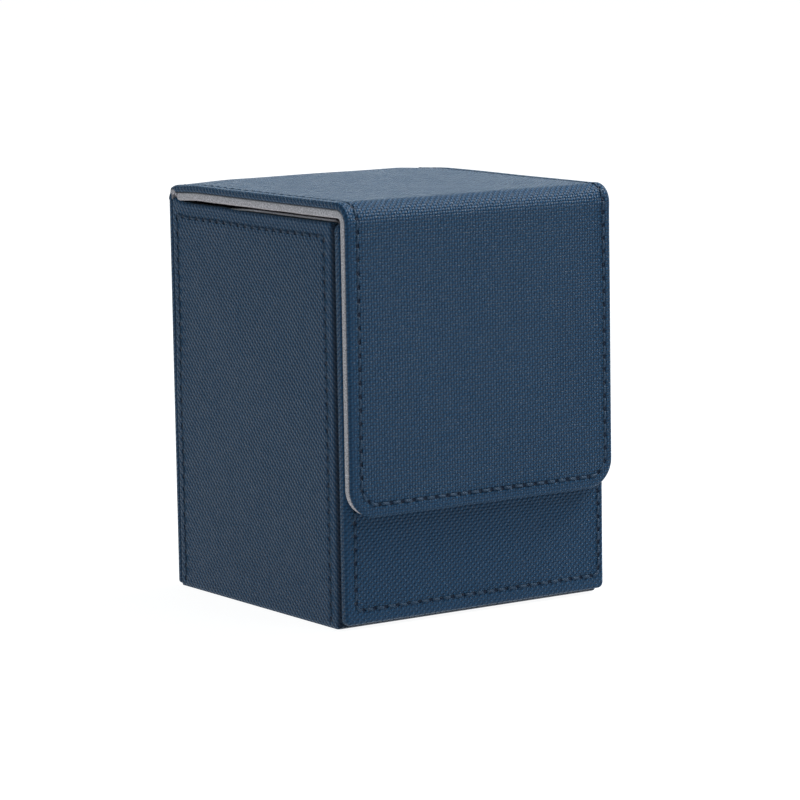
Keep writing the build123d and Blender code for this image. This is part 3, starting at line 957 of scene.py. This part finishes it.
PANEL_FACE, PANEL_THICK = panel_low[1], panel_high[1] - panel_low[1]
panel_seam = Seam(
    PANEL_SEAM_SHIFT, panel_low[2] + PANEL_SEAM_FOOT, HALF - PANEL_SEAM, PANEL_SEAM_CORNER,
    FRONT_SEAM_TOP - PANEL_SEAM_FOOT - panel_low[2],
)


def on_front(u, v, depth):
    return np.stack([u, PANEL_FACE + depth, v], -1)


front_cover = sheet(
    "front_panel_cover", ((-HALF, HALF), (panel_low[2], panel_high[2])), on_front, (RIM,) * 4,
    FRONT_PANEL_CORNER, PANEL_THICK, "case", NAVY, FINE, seams=[panel_seam],
    relief=uneven(24.0, 0.06, 7), shell=SKIN, back_rim=PANEL_BACK_RIM, twill=0.85,
)
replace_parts(front_cover, "front_panel_skin")
stitches(
    "front_panel_stitches", panel_seam, whole(panel_seam), on_front, "case", "front_panel_stitching"
)


def slab(name, node, axis, face):
    """A lining board inside the case. Its napped face looks along the axis, -1 or 1."""
    low, high = corners(node)
    across = [n for n in range(3) if n != axis]
    spans = [(low[n], high[n]) for n in across]

    def place(u, v, depth):
        point = np.zeros((len(u), 3))
        point[:, across[0]], point[:, across[1]] = u, v
        point[:, axis] = high[axis] - depth if face > 0 else low[axis] + depth
        if axis == 0:  # the top edge of a side lining leans out over its wall
            point[:, 0] -= face * LINING_LEAN * smooth((v - wrap_high[2] - 0.05) / 0.3)
            ease = LINING_EASE - 2 * LINING_EASE * smooth((u - 2.0) / 14.0)
            point[:, 2] += ease * smooth((v - 85.0) / 12.0)
        return point

    piece = sheet(
        name, spans, place, (SLAB_RIM,) * 4, SLAB_CORNER, high[axis] - low[axis], "case", GREY,
        COARSE, relief=uneven(14.0, 0.03, axis), tuck=None,
    )
    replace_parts(piece, node)


slab("left_grey_lining", "left_lining", 0, 1)
slab("right_grey_lining", "right_lining", 0, -1)
slab("front_grey_lining", "front_lining", 1, 1)
slab("rear_grey_lining", "rear_lining", 1, -1)
slab("base_grey_lining", "base_lining", 2, 1)


# ---------------------------------------------------------------- floor, light and camera

floor_mesh = bpy.data.meshes.new("floor")
floor_mesh.from_pydata([(-10, -10, 0), (10, -10, 0), (10, 10, 0), (-10, 10, 0)], [], [(0, 1, 2, 3)])
floor_graph = Graph("white_paper")
floor_graph.shader.inputs["Base Color"].default_value = rgb(0.16, 0.16, 0.16)
floor_graph.shader.inputs["Emission Color"].default_value = rgb(1.0, 1.0, 1.0)
floor_graph.shader.inputs["Emission Strength"].default_value = 0.94
floor_graph.shader.inputs["Roughness"].default_value = 0.9
floor_graph.shader.inputs["Specular IOR Level"].default_value = 0.1
floor_mesh.materials.append(floor_graph.material)
floor = bpy.data.objects.new("floor", floor_mesh)
scene.collection.objects.link(floor)

scene.view_settings.view_transform = "Standard"
scene.world = bpy.data.worlds.new("studio")
scene.world.use_nodes = True
studio = scene.world.node_tree
sky = studio.nodes["Background"]
direction = studio.nodes.new("ShaderNodeSeparateXYZ")
studio.links.new(studio.nodes.new("ShaderNodeTexCoord").outputs["Generated"], direction.inputs[0])
fall_off = studio.nodes.new("ShaderNodeMapRange")
fall_off.interpolation_type = "SMOOTHSTEP"
studio.links.new(direction.outputs["Z"], fall_off.inputs["Value"])
for key, number in zip(RANGE_INPUTS, (0.3, 0.8, 0.45, 0.3)):
    fall_off.inputs[key].default_value = number
studio.links.new(fall_off.outputs["Result"], sky.inputs["Strength"])
sky.inputs["Color"].default_value = rgb(0.85, 0.96, 1.0)

TARGET = Vector((0.0, 0.0, 0.05))
DAYLIGHT = (0.93, 0.98, 1.0)


def softbox(name, place, size, power, tint):
    """A lamp that faces the box: its place and size are in metres, and its power in watts."""
    lamp = bpy.data.lights.new(name, "AREA")
    lamp.shape, lamp.size, lamp.size_y = "RECTANGLE", *size
    lamp.energy, lamp.color = power, tint
    holder = bpy.data.objects.new(name, lamp)
    holder.location = place
    holder.rotation_euler = (TARGET - Vector(place)).to_track_quat("-Z", "Y").to_euler()
    scene.collection.objects.link(holder)


softbox("left_softbox", (-0.8, -0.2, 0.7), (0.5, 0.5), 0.8, (0.5, 0.9, 1.0))
softbox("front_softbox", (0.3, -0.75, 0.9), (0.4, 0.4), 2.8, (0.8, 0.93, 1.0))
softbox("right_softbox", (0.95, -0.15, 1.25), (0.8, 0.8), 43.0, DAYLIGHT)
softbox("backdrop", (1.4, 2.05, 0.42), (3.0, 0.84), 8.6, DAYLIGHT)

# The photograph's viewpoint: azimuth, tilt down and roll in degrees, the rest in metres
AZIMUTH, TILT, ROLL = (math.radians(n) for n in (34.275, 8.211, -0.94))
DISTANCE = 0.93003
CENTRE = Vector((0.0, 0.001725, 0.05))  # the point it looks at, but for the two offsets
RIGHTWARD, DOWNWARD = 0.003721, 0.001848
LENS, SENSOR = 166.78, 36.0  # millimetres
forward = Vector(
    (math.sin(AZIMUTH) * math.cos(TILT), math.cos(AZIMUTH) * math.cos(TILT), -math.sin(TILT))
)
level_right = Vector((math.cos(AZIMUTH), -math.sin(AZIMUTH), 0.0))
level_up = level_right.cross(forward)
right = level_right * math.cos(ROLL) + level_up * math.sin(ROLL)
up = level_up * math.cos(ROLL) - level_right * math.sin(ROLL)
camera = bpy.data.objects.new("camera", bpy.data.cameras.new("camera"))
camera.data.lens, camera.data.sensor_width = LENS, SENSOR
viewpoint = CENTRE - forward * DISTANCE + right * RIGHTWARD - up * DOWNWARD
camera.matrix_world = Matrix(
    (
        (right.x, up.x, -forward.x, viewpoint.x),
        (right.y, up.y, -forward.y, viewpoint.y),
        (right.z, up.z, -forward.z, viewpoint.z),
        (0.0, 0.0, 0.0, 1.0),
    )
)
scene.collection.objects.link(camera)
scene.camera = camera
